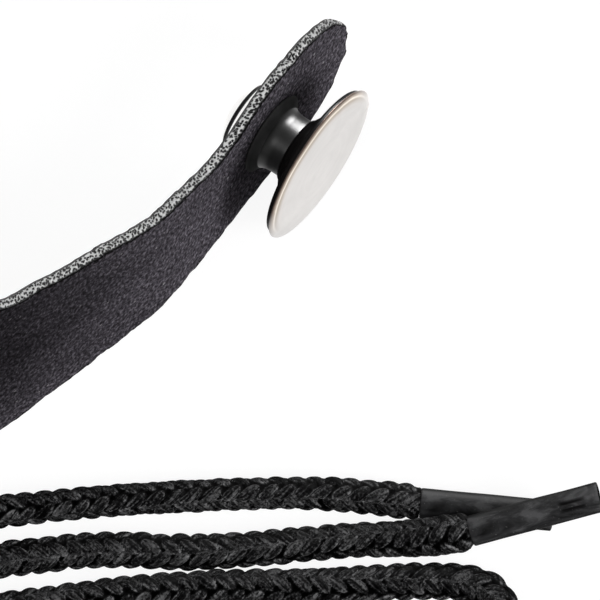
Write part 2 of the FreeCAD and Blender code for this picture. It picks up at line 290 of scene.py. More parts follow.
def cut_edge():
    """Fibrous raw edge: pale with a maze of dark pits, and a dark line along each side."""
    f = Finish("cut_edge")
    place = f.place()
    warp = f.node("TexNoise", {"Vector": place, "Scale": 1.6, "Detail": 2.0}).outputs["Color"]
    warp = f.node("VectorMath", {0: warp, 3: 0.5}, operation="SCALE").outputs[0]
    bent = f.node("VectorMath", {0: place, 1: warp}, operation="ADD").outputs[0]
    pits = f.node("TexVoronoi", {"Vector": bent, "Scale": 2.6, "Randomness": 1.0},
                  feature="F1", voronoi_dimensions="2D").outputs["Distance"]
    mixed = f.blend(pits, 0.8, f.noise(place, 5.5, 2, 0.6), 0.3)
    colour = f.ramp(mixed, (0.36, 0.004), (0.43, 0.07), (0.50, 0.33), (0.60, 0.72))
    across = f.math("ADD", f.attribute("rim"), f.math("MULTIPLY", f.noise(place, 1.8, 1), 0.24))
    line = f.ramp(across, (0.18, 1.0), (0.30, 0.0), (0.98, 0.0), (1.06, 0.75))
    colour = f.mix(line, colour, (0.004, 0.004, 0.004))
    return f.surface(colour, 0.9, 0.10, mixed, 0.3, 0.7)


def inner_leather():
    f = Finish("inner_leather")
    place = f.place()
    cells = f.node("TexVoronoi", {"Vector": place, "Scale": 1.5, "Randomness": 1.0},
                   feature="DISTANCE_TO_EDGE").outputs["Distance"]
    pebbles = f.ramp(cells, (0.0, 0.0), (0.12, 0.75), (0.4, 1.0))
    clouds = f.noise(place, 0.11, 3, 0.6)
    colour = f.mix(clouds, (0.012, 0.011, 0.011), (0.028, 0.025, 0.024))
    height = f.blend(pebbles, 0.8, f.noise(place, 6, 2, 0.6), 0.2)
    return f.surface(colour, f.scaled(clouds, 0.25, 0.36), 0.09, height, 0.07, 0.7)


def lace_yarn():
    f = Finish("lace_yarn")
    place = f.place()
    strands = f.noise(f.place(25, 210), 1.0, 2, 0.6, 0.3)
    worn = f.noise(place, 1.0, 2, 0.6)
    mixed = f.blend(strands, 0.6, f.noise(place, 3.4, 2, 0.6), 0.4)
    yarn = f.ramp(mixed, (0.40, (0.0010, 0.0010, 0.0011)), (0.49, (0.0140, 0.0140, 0.0145)),
                  (0.60, (0.105, 0.105, 0.107)))
    # Painted shade and sheen from the plaits' height: near black in the grooves between plaits, a
    # painted sheen lighter along each plait's flanks, a little darker on its top
    painted_shade_and_sheen = f.ramp(f.attribute("crown"), (0.52, 0.0), (0.62, 0.35), (0.71, 1.7), (0.82, 1.0),
                    (1.0, 0.70))
    colour = f.times(f.times(yarn, painted_shade_and_sheen), f.ramp(worn, (0.38, 0.5), (0.60, 1.5)))
    return f.surface(colour, 0.7, 0.01, mixed, 0.2, 0.9)


def aglet_film():
    f = Finish("aglet_film")
    smudges = f.noise(f.place(30, 80), 0.7, 4, 0.6, 0.6)
    dust = f.noise(f.place(), 3.0, 2, 0.5)
    colour = f.ramp(smudges, (0.34, (0.006, 0.006, 0.0062)), (0.5, (0.028, 0.028, 0.029)),
                    (0.64, (0.075, 0.075, 0.077)))
    colour = f.mix(f.ramp(dust, (0.66, 0), (0.74, 0.5)), colour, (0.13, 0.13, 0.13))
    # Painted shade on the sleeve's sides, in its slots and inside its mouth
    colour = f.mix(f.attribute("painted_side_shade"), colour, (0.002, 0.002, 0.002))
    return f.surface(colour, f.scaled(smudges, 0.3, 0.40), 0.02, smudges, 0.10, 0.6)


def black_metal():
    f = Finish("black_shell_paint")
    place = f.solid()
    peel = f.noise(place, 8, 2, 0.5)
    colour = f.ramp(f.noise(place, 2.5, 3, 0.6), (0.3, (0.0035, 0.003, 0.003)),
                    (0.7, (0.009, 0.008, 0.008)))
    return f.surface(colour, f.scaled(peel, 0.25, 0.22), 0.03, peel, 0.02, 0.4)


def neck_plastic(name, shade, rough, gloss):
    f = Finish(name)
    place = f.solid()
    fine = f.noise(place, 22, 2, 0.6)
    colour = f.ramp(f.noise(place, 3, 3, 0.5), (0.3, 0.7 * shade), (0.7, 1.3 * shade))
    return f.surface(colour, f.scaled(fine, 0.12, rough), gloss, fine, 0.006, 0.4)


def nickel(name, colour_low, colour_high, rough, worn=None):
    """Plated metal: turning marks round the button's axis under a faint cloudy haze.

    Worn gives ramp stops over the face's edge, from where it starts to bend to its back, laid on
    the upper left only. There they show brass where the plating thins, and also paint a dark
    reflection next to the back shell and a cream highlight band across the edge.
    """
    f = Finish(name)
    turning = f.noise(f.place(0.6, 100), 1.3, 3, 0.6)
    haze = f.noise(f.solid(), 2.2, 4, 0.6, 0.8)
    mixed = f.blend(turning, 0.4, haze, 0.6)
    colour = f.ramp(mixed, (0.35, colour_low), (0.65, colour_high))
    if worn:
        run = f.node("SeparateXYZ", {0: f.place(1, 100)}).outputs["Y"]
        across = f.node("MapRange", {"Value": run, "From Min": 6.92, "From Max": 9.0})
        blotched = f.math("ADD", across.outputs[0], f.math("MULTIPLY", haze, 0.16))
        turn = f.node("SeparateXYZ", {0: f.place(50 / math.pi, 100)}).outputs["X"]
        side = f.ramp(turn, (0.03, 0.0), (0.13, 1.0), (0.45, 1.0), (0.56, 0.0), (0.9, 0.0))
        colour = f.mix(side, colour, f.times(colour, f.ramp(blotched, *worn)))
    return f.surface(colour, f.scaled(mixed, 0.22, rough), 0.5, turning, 0.010, 0.4, Metallic=1.0)


def brushed_cloth():
    f = Finish("lining_cloth")
    place = f.place()
    knit = f.node("TexWave", {"Vector": place, "Scale": 0.9, "Distortion": 2.5, "Detail": 2.0},
                  wave_type="BANDS", bands_direction="DIAGONAL").outputs["Fac"]
    mixed = f.blend(knit, 0.35, f.noise(place, 2.6, 3, 0.7), 0.65)
    colour = f.ramp(mixed, (0.25, (0.030, 0.028, 0.028)), (0.55, (0.075, 0.070, 0.070)),
                    (0.8, (0.14, 0.13, 0.13)))
    return f.surface(colour, 0.95, 0.02, mixed, 0.18, 0.8, Sheen_Weight=0.2, Sheen_Roughness=0.4)


def sewing_thread():
    f = Finish("sewing_thread")
    twist = f.node("TexWave", {"Vector": f.place(turn=38), "Scale": 0.9, "Distortion": 0.6},
                   wave_type="BANDS").outputs["Fac"]
    fuzz = f.noise(f.place(), 6, 2, 0.6)
    colour = f.ramp(twist, (0.1, (0.008, 0.008, 0.009)), (0.7, (0.032, 0.031, 0.033)))
    colour = f.mix(f.math("MULTIPLY", fuzz, 0.3), colour, (0.06, 0.06, 0.062))
    return f.surface(colour, 0.55, 0.1, twist, 0.06, 0.8)


def speckled(name, dark, light, scale, metallic, rough, depth):
    f = Finish(name)
    place = f.solid()
    fine = f.noise(place, scale * 5, 2, 0.6)
    mixed = f.blend(f.noise(place, scale, 4, 0.6, 0.3), 0.7, fine, 0.3)
    colour = f.ramp(mixed, (0.35, dark), (0.65, light))
    return f.surface(colour, f.scaled(fine, 0.3, rough), 0.5, fine, depth, 0.5, Metallic=metallic)


finish_suede, finish_edge, finish_inner = suede(), cut_edge(), inner_leather()
finish_lace, finish_aglet = lace_yarn(), aglet_film()
finish_core = speckled("aglet_core", 0.004, 0.03, 18, 0.0, 0.6, 0.2)
nickel_tones = (0.66, 0.64, 0.625), (0.74, 0.72, 0.705)
finish_face = nickel("nickel_face", *nickel_tones, 0.3)
# Brass wear with a painted reflection: dark brown beside the shell, a cream painted highlight
# above the metal's own colour, tan brass either side
finish_rim = nickel("nickel_rim", *nickel_tones, 0.3, worn=(
    (0.07, (0.04, 0.032, 0.03)), (0.17, (0.20, 0.15, 0.12)), (0.31, (0.66, 0.57, 0.48)),
    (0.41, (1.36, 1.30, 1.20)), (0.53, (0.66, 0.58, 0.49)), (0.86, (1.0, 0.985, 0.975))))
finish_back_cap = nickel("nickel_back_cap", (0.86, 0.85, 0.84), (0.98, 0.97, 0.96), 0.08)
finish_shell = black_metal()
finish_neck = neck_plastic("neck", 0.007, 0.28, 0.24)
finish_foot = neck_plastic("neck_foot", 0.040, 0.8, 0.02)
finish_lining, finish_thread = brushed_cloth(), sewing_thread()
finish_filler = speckled("filler_board", (0.10, 0.075, 0.05), (0.24, 0.19, 0.13), 9, 0.0, 0.6, 0.2)
finish_tack = speckled("tack_steel", (0.30, 0.30, 0.30), (0.52, 0.52, 0.51), 6, 1.0, 0.25, 0.03)


# ---- lace
lace_diameter = 4.0


def laid(*points):
    """Control points as in the part's source; one without a height lies on the table."""
    return [(*point, lace_diameter / 2)[:3] for point in points]


short_leg_points = laid(
    (-74.2, 20.9, 17.2), (-70.5, 15.5, 17.2), (-65.2, 5.7, 13.2), (-57.2, -4.6, 6.2),
    (-47.7, -11.9, 2.1), (-34.8, -19.7), (-21.8, -24.0), (-8.5, -27.1), (5.5, -28.0),
    (18.5, -26.3), (31.0, -23.4), (43.0, -21.2), (54.5, -20.1), (66.0, -19.4), (76.5, -19.1),
    (84.0, -19.7), (89.3, -20.4))
long_leg_points = laid(
    (-74.2, 20.9, 17.2), (-75.8, 23.2, 17.2), (-78.3, 26.7, 13.1), (-78.3, 26.7, 7.4),
    (-75.8, 23.2, 3.4), (-71.7, 17.0, 3.0), (-68.3, 7.6, 2.4), (-62.8, -6.7), (-57.5, -16.7),
    (-53.5, -30.7), (-47.5, -43.7), (-38.5, -54.7), (-26.0, -61.5), (-12.0, -61.6), (2.0, -58.0),
    (15.0, -52.3), (28.5, -47.2), (42.0, -42.9), (55.0, -40.3), (68.0, -39.3), (79.5, -39.2),
    (89.5, -38.4), (95.8, -38.7), (98.4, -36.1), (98.4, -32.5), (95.8, -30.0), (89.5, -29.7),
    (77.5, -30.3), (66.0, -30.5), (56.0, -31.2), (45.5, -32.9), (34.0, -33.9), (22.0, -37.7),
    (10.0, -43.7), (-1.0, -50.4), (-10.0, -54.7), (-19.5, -56.8), (-29.0, -55.7), (-36.0, -50.3),
    (-38.8, -41.9), (-36.0, -33.5), (-28.7, -28.3), (-19.0, -28.6), (-8.0, -31.7), (2.5, -33.8),
    (13.0, -33.1), (22.0, -30.7), (32.0, -28.6), (43.0, -27.1), (54.0, -25.8), (63.0, -26.5),
    (73.0, -25.7), (82.0, -24.7), (89.0, -24.8, 2.3), (94.9, -24.4, 3.6))
lace_step = 0.26            # between rings of the lace's mesh
lace_ring = 42
plait_columns = 6
plait_pitch = 2.1
plait_slant = math.radians(46)
plait_half_length = 1.85
plait_half_width = 0.98
plait_height = 0.82
aglet_radius = 1.74


def route_line(points):
    """Points about one ring step apart along a smooth curve through the route, in mm."""
    curve = bpy.data.curves.new("route", "CURVE")
    curve.dimensions = "3D"
    curve.resolution_u = 24
    spline = curve.splines.new("NURBS")
    spline.points.add(len(points) - 1)
    for spot, point in zip(spline.points, points):
        spot.co = (*(Vector(point) * MM), 1)
    spline.order_u = 3
    spline.use_endpoint_u = True
    holder = bpy.data.objects.new("route", curve)
    mesh = bpy.data.meshes.new_from_object(holder)
    line = np.array([v.co for v in mesh.vertices], float).reshape(-1, 3) / MM
    bpy.data.meshes.remove(mesh)
    bpy.data.objects.remove(holder)
    bpy.data.curves.remove(curve)
    along = run_along(line)
    at = np.linspace(0, along[-1], int(along[-1] / lace_step) + 1)
    return at, np.stack([np.interp(at, along, line[:, k]) for k in range(3)], 1)


def carried_frames(line):
    """Two normals carried along a line without twist; the first starts upward."""
    tangents = unit(np.gradient(line, axis=0))
    ups, up = [], np.array([0, 0, 1.0])
    for tangent in tangents:
        up = unit(up - tangent * (up @ tangent))
        ups.append(up)
    ups = np.array(ups)
    return ups, np.cross(tangents, ups)


def braid(along, angle):
    """Height of the plaits from 0 to 1, and each point's place on its own plait, in mm."""
    width = math.pi * lace_diameter / plait_columns
    across = angle / (2 * math.pi) * plait_columns
    best = np.full(along.shape, -9.0)
    length_place, width_place = np.zeros(along.shape), np.zeros(along.shape)
    for column_step, step in np.ndindex(3, 3):
        column = np.round(across) + column_step - 1
        sign = np.where(np.mod(column, 2) > 0.5, -1.0, 1.0)
        offset = np.where(sign > 0, 0.0, 0.5)
        w = (across - column) * width
        number = np.round(along / plait_pitch - offset) + step - 1
        cell = np.stack([number, np.mod(column, plait_columns), 0 * number], -1).astype(int)
        jitter = lattice(cell, 5) - 0.5
        size = 1 + 0.16 * (lattice(cell, 6) - 0.5)
        u = along - (number + offset + 0.14 * jitter) * plait_pitch
        slant = plait_slant * (1 + 0.12 * (lattice(cell, 7) - 0.5))
        a = u * np.cos(slant) + sign * w * np.sin(slant)
        b = -sign * u * np.sin(slant) + w * np.cos(slant)
        b = b - 0.10 * sign * a * a / plait_half_length
        inside = 1 - (a / plait_half_length) ** 2 - (b / (plait_half_width * size)) ** 2
        height = np.sqrt(np.maximum(inside, 0)) * (0.93 + 0.14 * lattice(cell, 8))
        height = height - 0.17 * sign * b / plait_half_width - 0.10 * a / plait_half_length
        height = np.where(inside > 0, height, -1.0)
        take = height > best
        best = np.where(take, height, best)
        length_place = np.where(take, a + 7 * lattice(cell, 9), length_place)
        width_place = np.where(take, b + 9 * lattice(cell, 10), width_place)
    return np.clip(best, 0, 1.2), length_place, width_place


def lace(name, points, thickness, swell, backwards, seed):
    """Braided leg of the lace, which narrows into its aglet; also its centre line."""
    at, line = route_line(points)
    ups, sides = carried_frames(line)
    angle = circle(lace_ring)
    twist = 0.9 * noise(at[:, None], 42, seed) * smooth_step(at / 30) + at * 0.006
    place = at[:, None] + 0 * angle
    turn = angle + twist[:, None]
    way = -1 if backwards else 1
    height, a, b = braid(way * place, way * turn)
    left = at[-1] - at
    radius = lace_diameter / 2 * thickness * (1 + 0.035 * noise(at[:, None], 9, seed + 1))
    radius = radius * (1 + (swell - 1) * smooth_step(1 - left / 15))
    narrowing = np.clip(left / 1.7, 0, 1)
    narrowing = np.sqrt(narrowing * (2 - narrowing))
    throat = aglet_radius * 0.97
    radius = throat + (radius - throat) * narrowing
    depth = plait_height * (0.35 + 0.65 * narrowing)
    r = radius[:, None] + depth[:, None] * (height - 0.93)
    r = r + 0.03 * noise(paired(place, turn * 2), 0.8, seed + 2)
    vertices = line[:, None] + spokes(ups, sides, angle) * r[..., None]
    vertices[..., 2] = np.maximum(vertices[..., 2], 0.02)
    vertices = np.concatenate([vertices.reshape(-1, 3), line[:1], line[-1:]])
    made = piece(name + "_lace", name + "_lace_leg", vertices, tube_faces(len(at), lace_ring),
                 [finish_lace], "patch", with_ends(paired(a, b).reshape(-1, 2)))
    mark(made, "crown", np.concatenate([height.ravel(), [0.5, 0.5]]))
    return made, line


def aglet(name, start, direction, up, seed):
    """Film sleeve crimped on the lace's end: slots and a crimp near its open tip."""
    radius, length, wall, core_depth = aglet_radius, 15.0, 0.32, 0.45
    direction = unit(np.array(direction, float))
    up = np.array(up, float)
    up = unit(up - direction * np.dot(up, direction))
    segments = 72
    angle = circle(segments)
    outer = np.concatenate([[0, 0.06, 0.16], np.linspace(0.35, length - 0.35, 118),
                            [length - 0.14, length - 0.05, length]])
    arc = (angle + math.pi) % (2 * math.pi) - math.pi
    flat = radius * arc + 0 * outer[:, None]
    h = outer[:, None] + 0 * angle
    ends = np.minimum(outer, length - outer)
    rounding = 0.14 * (1 - np.sqrt(1 - np.clip(1 - ends / 0.16, 0, 1) ** 2))
    r = radius + 0.02 * noise(paired(h / 3, flat), 1.2, seed) - rounding[:, None]
    r = r - 0.02 * noise(paired(h, flat), 4.0, seed + 1)
    seam = flat + 2.2 + 0.25 * noise(h[..., None], 6, seed + 2)
    r = r + 0.07 * smooth_step(seam / 0.16) * smooth_step(1 - (seam - 0.2) / 2.6)
    # Painted shade: the sleeve is darkened away from the up it is given, on its sides and
    # underside, and in its slots
    painted_side_shade = 0.97 * smooth_step((np.abs(arc) - 0.95) / 0.25) + 0 * h
    for middle in (-0.45, 0.45):
        slot_along = np.clip(1 - ((h - (length - 3.1)) / 1.6) ** 6, 0, 1)
        slot = slot_along * np.sqrt(np.clip(1 - ((flat - middle) / 0.28) ** 2, 0, 1))
        r = r - 0.30 * slot
        painted_side_shade = np.maximum(painted_side_shade, 0.9 * slot)
    crimp = np.exp(-((h - (length - 0.95)) / 0.22) ** 2)
    r = r - 0.10 * crimp * (0.5 + 0.5 * np.cos(6 * angle))
    for spot_h, spot_f, spot_r, deep in ((2.5, 0.25, 0.5, 0.10), (3.2, -0.5, 0.35, 0.08),
                                         (6.1, 0.9, 0.6, 0.06)):
        away = np.hypot(h - spot_h, flat - spot_f) / spot_r
        r = r - deep * np.exp(-away ** 2)
    # Behind the slanting end come the sleeve's inside and the lace's melted core
    slant = 0.10 * np.cos(angle + 0.9) * smooth_step((h - 12) / 3)
    bore, core_end = radius - wall, length - core_depth + 0.12
    inner_h = np.array([[length - 0.02], [length - core_depth]]) + slant[-1:]
    core_h = np.array([[core_end - 0.07], [core_end]])
    core_h = core_h + 0.06 * noise(paired(angle * 2, seed), 1, 3)
    inside_r = np.array([[bore], [bore - 0.02], [bore * 0.66], [bore * 0.33]]) + 0 * angle
    all_h = np.concatenate([h + slant, inner_h, core_h])
    all_r = np.concatenate([r, inside_r])
    start, side = np.array(start), np.cross(direction, up)
    vertices = start + direction * all_h[..., None] + spokes(up, side, angle) * all_r[..., None]
    vertices = np.concatenate([vertices.reshape(-1, 3), [start, start + direction * core_end]])
    in_core = np.repeat(np.arange(len(all_h) - 1) > len(outer), segments)
    uv = paired(all_h, radius * arc).reshape(-1, 2)
    made = piece(name + "_aglet", name + "_leg_aglet", vertices, tube_faces(len(all_h), segments),
                 [finish_aglet, finish_core], "patch", with_ends(uv),
                 np.concatenate([in_core.astype(int), [0, 1] * segments]))
    # Rows inside the sleeve's mouth are painted fully dark as shade
    mark(made, "painted_side_shade", np.concatenate([painted_side_shade.ravel(), np.ones(len(vertices) - painted_side_shade.size)]))
    return made


legs = [lace("short", short_leg_points, 0.94, 1.06, False, 11),
        lace("long", long_leg_points, 1.02, 1.14, True, 23)]
aglets = [aglet("short", short_leg_points[-1], (14.9, -1.4, -0.25), camera_back, 31),
          aglet("long", long_leg_points[-1], (14.4, 2.6, 3.9), camera_back, 37)]


# ---- leather
leather_thickness, patch_height, arm_width, arm_waist = 1.4, 62.0, 20.5, 18.3
arm_flare, flare_clearance, tip_flat = 10.0, 3.6, 0.5
front_radius, front_angle = 70.2, math.radians(41.0)
temple_run, temple_bend, arm_angle = 15.2, 28.9, math.radians(54.5)
arm_end_run = 32.9
dome_radius, dome_depth, dome_soften = 25.5, 11.0, 1.16
front_length = front_radius * front_angle
temple_length = front_length + temple_run
bend_length = temple_length + temple_bend * (arm_angle - front_angle)
tip_length = bend_length + arm_end_run
tip_corner = (arm_width - tip_flat) / 2
shoulder_length = tip_length - tip_corner - flare_clearance - arm_flare
button_station = tip_length - 15.3
button_height = arm_width / 2
stitch_half_width, stitch_half_height = 28.3, 26.3
shift_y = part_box("leather_patch")[0].y / MM + dome_depth


def outward(angle):
    return paired(np.sin(angle), -np.cos(angle))


def onward(angle):
    return paired(np.cos(angle), np.sin(angle))


def from_button(station, height):
    return np.hypot(np.abs(station) - button_station, height - button_height)


def wall(station):
    """Plan point and heading of the strip's outer face; a negative station is on the left."""
    far = np.abs(station)
    front = np.minimum(far, front_length) / front_radius
    point = outward(front) * front_radius + [0, front_radius]
    point = point + onward(front_angle) * np.clip(far - front_length, 0, temple_run)[..., None]
    bend = np.clip(far - temple_length, 0, bend_length - temple_length) / temple_bend
    point = point + temple_bend * (outward(front_angle + bend) - outward(front_angle))
    point = point + onward(arm_angle) * np.clip(far - bend_length, 0, None)[..., None]
    side = np.where(station < 0, -1.0, 1.0)
    return point[..., 0] * side, point[..., 1] + shift_y, (front + bend) * side


def proud(station, height):
    """How far the leather's face stands out of the plain wall: dome, seam dent and slack."""
    angle = np.clip(np.abs(station), 0, front_length) / front_radius
    middle = front_radius - dome_radius + dome_depth
    under = (middle * np.cos(angle)) ** 2 - middle ** 2
    under = under - (height - patch_height / 2) ** 2 + dome_radius ** 2
    dome = middle * np.cos(angle) + np.sqrt(np.maximum(under, 0)) - front_radius
    dome = np.where(under > 0, np.maximum(dome, -14.5), -14.5)
    out = 0.5 * (dome + np.sqrt(dome ** 2 + dome_soften ** 2)) - 0.023
    ring = np.hypot(station / stitch_half_width, (height - patch_height / 2) / stitch_half_height)
    out = out - 0.10 * np.exp(-((ring - 1) * 27 / 0.8) ** 2)
    away = from_button(station, height)
    free = 1 - np.exp(-(away / 9) ** 2)
    place = paired(station, height)
    out = out + free * (0.16 * noise(place, 17, 41) + 0.05 * noise(place, 4, 42))
    return out - 0.10 * np.exp(-(away / 5.6) ** 6)


def face_point(station, height):
    """Point of the leather's outer face."""
    x, y, angle = wall(station)
    out = proud(station, height)
    return np.stack([x + np.sin(angle) * out, y - np.cos(angle) * out, height + 0 * x], -1)


def skin(station, height, depth):
    """Point at a depth behind the leather's outer face, along the face's own normal."""
    station, height = np.broadcast_arrays(np.asarray(station, float), np.asarray(height, float))
    small = 0.05
    along = face_point(station + small, height) - face_point(station - small, height)
    rise = face_point(station, height + small) - face_point(station, height - small)
    normal = unit(np.cross(along, rise))
    return face_point(station, height) - normal * np.asarray(depth, float)[..., None]


def top_edge(station):
    """Height of the strip's top edge: round over the patch, waisted along the arms."""
    # Share of the height over the waist, at equal steps out to the shoulder
    left = np.array([1, 0.973, 0.893, 0.748, 0.545, 0.364, 0.249, 0.169, 0.103, 0.041, 0])
    slope = np.gradient(left)
    slope[0] = slope[-1] = 0
    far = np.abs(station)
    step = np.clip(far / shoulder_length, 0, 1) * (len(left) - 1)
    k = np.minimum(step.astype(int), len(left) - 2)
    share = hermite(step - k, left[k], left[k + 1], slope[k], slope[k + 1])
    flare = (arm_width - arm_waist) * smooth_step((far - shoulder_length) / arm_flare)
    return arm_waist + (patch_height - arm_waist) * share + flare


def leather():
    """The strip: suede outside, smooth inside, with ragged cut bands of their own material."""
    station_step, tip_stations, rows = 0.262, 44, 34
    # Stations, close together where the tips turn
    tip_start = tip_length - tip_corner
    tip = tip_start + tip_corner * np.cos(np.linspace(0, math.pi / 2, tip_stations))
    middle = np.arange(-tip_start, tip_start, station_step)[1:]
    station = np.concatenate([-tip, middle, tip[::-1]])
    corner = np.clip(np.abs(station) - tip_start, 0, tip_corner)
    cut = tip_corner - np.sqrt(tip_corner ** 2 - corner ** 2)
    low, high = cut, top_edge(station) - cut
    columns = len(station)
    # Rows, close together at both edges
    near = np.array([0, 0.07, 0.16, 0.32, 0.62])
    share = np.linspace(0, 1, rows - 2 * len(near) + 2)[1:-1]
    tall = (high - low)[:, None]
    near = np.minimum(near, tall * 0.08 * np.arange(len(near)))
    margin = near[:, -1:]
    up = np.concatenate([near, margin + (tall - 2 * margin) * share, tall - near[:, ::-1]], 1)
    height = low[:, None] + up
    stations = station[:, None] + 0 * height
    # Distance from the outline, and the outline's own normal in the strip's plane
    from_tip = tip_length - np.abs(stations)
    edge_distance = np.minimum(np.minimum(up, tall - up), np.where(from_tip < 1, from_tip, 9))
    lean = corner / tip_corner * np.sign(station)
    towards = paired(lean[:, None],
                     np.sqrt(1 - lean ** 2)[:, None] * np.where(up < tall / 2, -1.0, 1.0))
    place = paired(stations, height)
    ragged = 0.15 * noise(place, 1.5, 51) + 0.09 * noise(place, 0.7, 52)
    notch = -0.22 * smooth_step((noise(place, 2.1, 53) - 0.35) / 0.25)
    notch = notch + 0.30 * smooth_step((noise(place, 1.7, 56) - 0.38) / 0.2)
    shove = (ragged + notch) * np.exp(-(edge_distance / 0.22) ** 2)
    stations = stations + towards[..., 0] * shove
    height = np.maximum(height + towards[..., 1] * shove, 0.0)
    rounding = 0.1 - np.sqrt(0.1 ** 2 - np.clip(0.1 - edge_distance, 0, 0.1) ** 2)
    rough_face = 0.035 * noise(place, 0.9, 54) + 0.05 * noise(place, 2.6, 55)
    rough_face = rough_face * (1 - np.exp(-(from_button(stations, height) / 6) ** 2))
    front = skin(stations, height, rounding * 0.6 + rough_face)
    back = skin(stations, height, leather_thickness - rounding + 0.3 * rough_face)
    # Each cut band has seven rows through the thickness
    band = np.linspace(0, 1, 9)[1:-1]
    strands = len(band)

    def band_rows(from_points, to_points, seed, lift):
        points = (from_points[..., None, :] * (1 - band)[:, None]
                  + to_points[..., None, :] * band[:, None])
        bulge = 0.10 * np.sin(math.pi * band) + 0.13 * noise(points, 0.55, seed)
        return points + lift[..., None, :] * bulge[..., None]

    def edge_lift(row):
        x, z, step = stations[:, row], height[:, row], towards[:, row] * 0.2
        middle = leather_thickness / 2
        return unit(skin(x, z, middle) - skin(x - step[:, 0], z - step[:, 1], middle))

    top_band = band_rows(front[:, -1], back[:, -1], 61, edge_lift(rows - 1))
    low_band = band_rows(back[:, 0], front[:, 0], 62, edge_lift(0))
    loop = np.concatenate([front, top_band, back[:, ::-1], low_band], 1)
    loop[..., 2] = np.maximum(loop[..., 2], 0.0)
    ring = loop.shape[1]
    faces = [ring_faces(columns, ring)[:, ::-1]]
    kinds = [np.tile(np.repeat([0, 1, 2, 1], [rows - 1, strands + 1] * 2), columns - 1)]
    band_uv = leather_thickness * band
    place = paired(stations, height)
    uv = np.concatenate([place, paired(station[:, None], high[:, None] + band_uv),
                         place[:, ::-1] + [0, 70],
                         paired(station[:, None], low[:, None] - band_uv[::-1])], 1)
    # Close both tips with a patch between the front and back columns
    vertices, places, count = [loop.reshape(-1, 3)], [uv.reshape(-1, 2)], columns * ring
    for end in (0, columns - 1):
        grid = np.zeros((rows, strands + 2), int)
        sides = np.split(end * ring + np.arange(ring), np.cumsum([rows, strands, rows]))
        grid[:, 0], grid[-1, 1:-1] = sides[:2]
        grid[:, -1], grid[0, 1:-1] = sides[2][::-1], sides[3][::-1]
        lift = np.array([np.cos(arm_angle) * np.sign(station[end]), np.sin(arm_angle), 0])
        fill = band_rows(front[end, 1:-1], back[end, 1:-1], 63, np.tile(lift, (rows - 2, 1)))
        grid[1:-1, 1:-1] = count + np.arange((rows - 2) * strands).reshape(rows - 2, strands)
        count += (rows - 2) * strands
        vertices.append(fill.reshape(-1, 3))
        places.append(paired(height[end, 1:-1, None], band_uv).reshape(-1, 2))
        quads = grid_faces(grid)
        faces.append(quads if end else quads[:, ::-1])
        kinds.append(np.ones(len(quads), int))
    made = piece("leather", "leather_patch", np.concatenate(vertices), np.concatenate(faces),
                 [finish_suede, finish_edge, finish_inner], "patch",
                 np.concatenate(places), np.concatenate(kinds))
    # Distance from the outline on the faces; on the cut band, the share through the leather
    whole = np.concatenate([edge_distance, np.tile(band, (columns, 1)),
                            1 + edge_distance[:, ::-1], np.tile(band[::-1], (columns, 1))], 1)
    tips = np.tile(band, 2 * (rows - 2))
    mark(made, "rim", np.concatenate([whole.ravel(), tips]))
    # Painted shade on the suede: darker where the arms leave the patch, above their lower edge, a
    # little lighter over the dome, and a painted shadow of the button's head round its foot
    arm = np.clip((np.abs(stations) - 44) / 28, 0, 1)
    nap = 0.25 + 0.82 * arm ** 1.6 + 0.7 * (1 - arm) * np.clip(1 - height / 15, 0, 1)
    nap = nap + 0.25 * smooth_step((40 - np.abs(stations)) / 20)
    from_foot = np.hypot(np.abs(stations) - button_station + 1, height - button_height + 2)
    nap = nap * (1 - 0.2 * np.exp(-(from_foot / 8.5) ** 4))
    # Only the outer face takes the painted shade; nap holds its factor here
    painted_shade = np.ones((columns, ring))
    painted_shade[:, :rows] = nap
    mark(made, "painted_shade", np.concatenate([painted_shade.ravel(), 0 * tips + 1]))


leather()


# ---- lining and stitches
def lining():
    """Soft oval pad behind the dome, swelling inside its ring of stitches."""
    around, rings = 160, 30
    angle = circle(around)
    share = np.sqrt(np.linspace(0.0, 1, rings + 1)[1:])[:, None]
    ragged = 0.12 * noise(onward(angle) * 30, 2, 71)
    half_width, half_height, thick = 30.35 + ragged, 28.35 + ragged, 1.4
    back = leather_thickness
    station = share * np.cos(angle) * half_width
    height = patch_height / 2 + share * np.sin(angle) * half_height
    from_edge = (1 - share) * 29
    pinch = 0.38 * np.exp(-((from_edge - 2.1) / 0.9) ** 2)
    dots = 0.5 + 0.5 * np.cos(42 * angle)
    puff = 0.12 * smooth_step(from_edge / 6) - pinch * (0.55 + 0.45 * dots)
    rounding = 0.45 - np.sqrt(0.45 ** 2 - np.clip(0.45 - from_edge, 0, 0.45) ** 2)
    place = paired(station, height)
    wrinkle = 0.06 * noise(place, 5, 72) + 0.03 * noise(place, 1.2, 73)
    near = skin(station, height, back + 0.08 + 0.7 * rounding)
    far = skin(station, height, back + thick + puff + wrinkle - rounding)
    middles = skin(0.0, patch_height / 2, np.array([back + 0.08, back + thick + 0.1]))
    vertices = np.concatenate([near, far[::-1]]).reshape(-1, 3)
    faces = [face[::-1] for face in tube_faces(2 * rings, around)]
    uv = np.concatenate([place, place[::-1]]).reshape(-1, 2)
    made = piece("lining", "eye_lining", np.concatenate([vertices, middles]), faces,
                 [finish_lining], "patch",
                 np.concatenate([uv, [[0, patch_height / 2]] * 2]))


